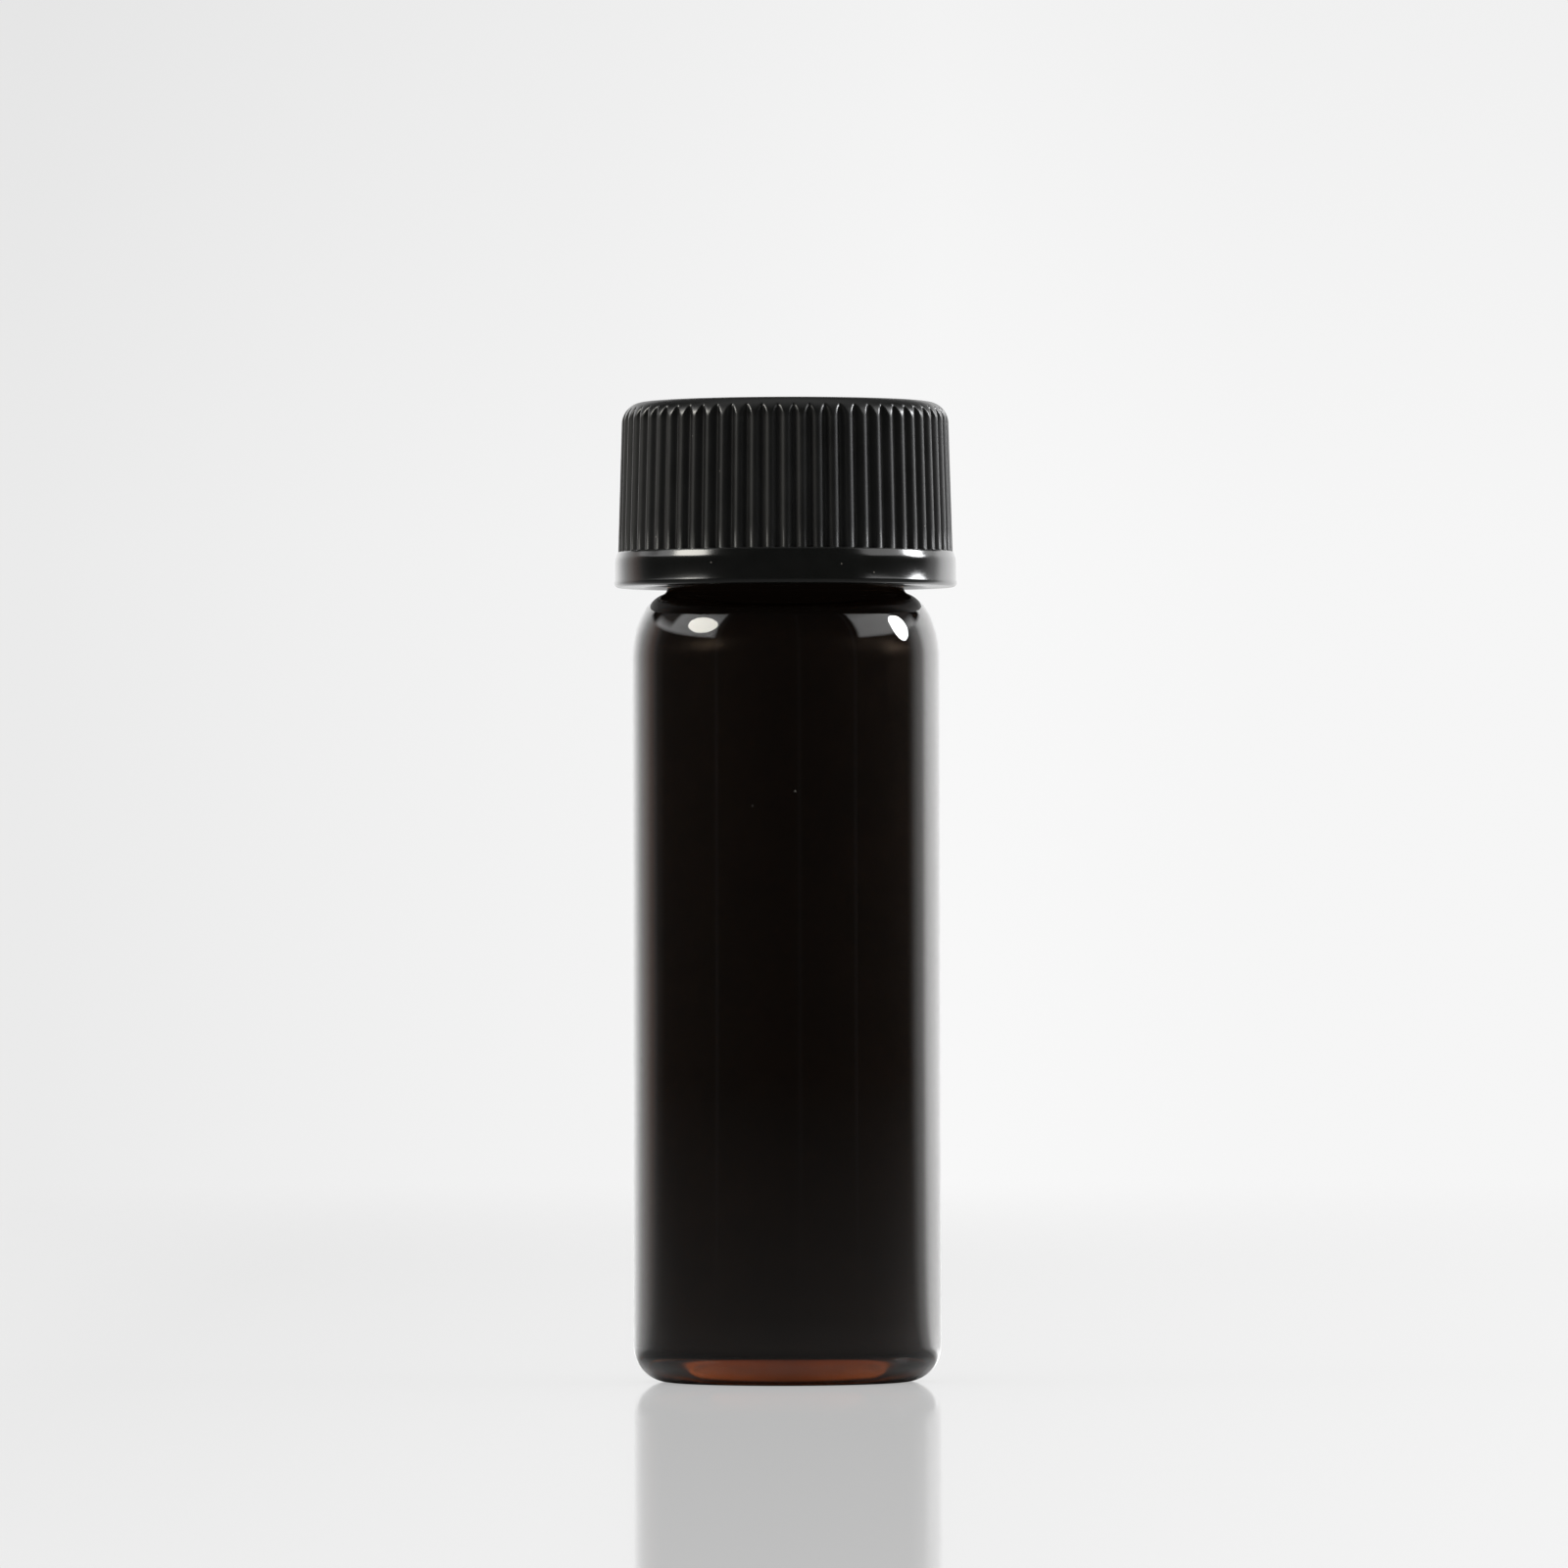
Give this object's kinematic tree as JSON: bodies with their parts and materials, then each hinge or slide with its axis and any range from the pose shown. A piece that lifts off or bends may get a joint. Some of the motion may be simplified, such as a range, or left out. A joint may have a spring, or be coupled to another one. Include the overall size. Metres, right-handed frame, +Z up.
{
  "type": "glass sample vial",
  "caption": "Small amber glass sample vial with a ribbed black screw cap and a sealing liner, for storing liquid or powder samples.",
  "frame": {"origin": "on the axis of the vial, in the plane of the surface it stands on", "axes": "+Z up the axis of the vial, from the base to the cap; +X and +Y are free, because the body is round"},
  "size_m": [0.0164, 0.0164, 0.0471],
  "materials": {
    "amber_glass": "very dark amber tubular glass, clear and fire-polished",
    "cap_black": "black moulded polypropylene, satin grip ribs over a glossy plain band",
    "liner_white": "white foamed polyethylene disc, matt"
  },
  "bodies": {
    "vial": {"vial": "amber_glass"},
    "liner": {"liner": "liner_white"},
    "cap": {"cap": "cap_black"}
  },
  "joints": [
    {"name": "cap_lift", "type": "slide", "parent": "vial", "child": "liner", "axis": [0, 0, 1], "range_m": [0, 0.01272]},
    {"name": "cap_turn", "type": "hinge", "parent": "liner", "child": "cap", "pos_m": [0, 0, 0.04265], "axis": [0, 0, 1], "range_deg": [0, 2160]}
  ],
  "couplings": [
    {"joint": "cap_turn", "follows": "cap_lift", "rad_per_m": 2963.8}
  ]
}
